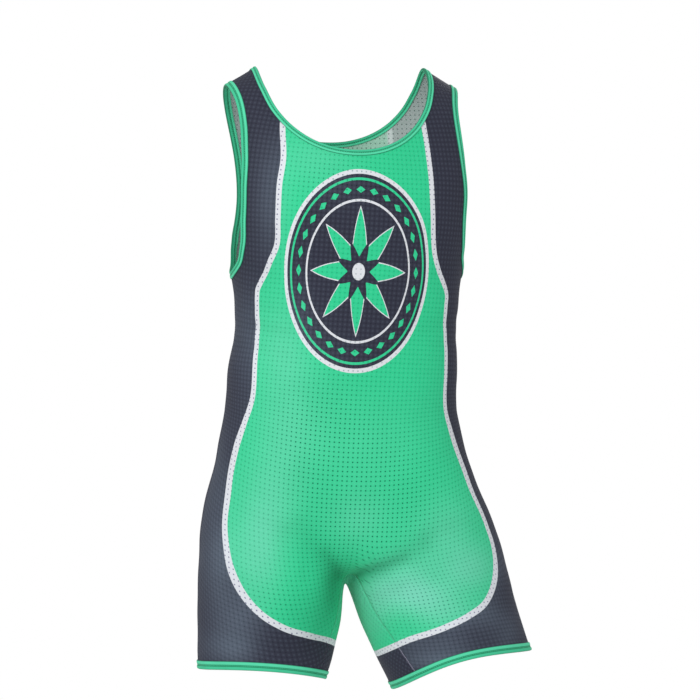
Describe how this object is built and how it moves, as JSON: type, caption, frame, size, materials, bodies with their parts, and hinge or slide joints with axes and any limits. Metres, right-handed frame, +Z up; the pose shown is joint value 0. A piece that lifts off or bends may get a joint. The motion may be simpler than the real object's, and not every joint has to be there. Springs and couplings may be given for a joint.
{
  "type": "wrestling singlet",
  "caption": "Sleeveless one-piece sports suit with a scooped neck, deep armholes and short legs, hollow in its worn shape, with bound edges.",
  "frame": {"origin": "midway between the two straps, at the height where they rest on the shoulders", "axes": "+Z up the body, -Y out of the front, +X towards the wearer's left"},
  "size_m": [0.4376, 0.2425, 0.808],
  "materials": {
    "panel_cloth": "stretch polyester with rows of small holes, printed mint green, charcoal and white, matt with a faint sheen",
    "binding_cloth": "folded stretch binding, mint green, matt"
  },
  "bodies": {
    "root": {"front_panel": "panel_cloth", "back_panel": "panel_cloth", "neck_binding": "binding_cloth", "armhole_binding_right": "binding_cloth", "armhole_binding_left": "binding_cloth", "leg_binding_right": "binding_cloth", "leg_binding_left": "binding_cloth"}
  },
  "joints": []
}
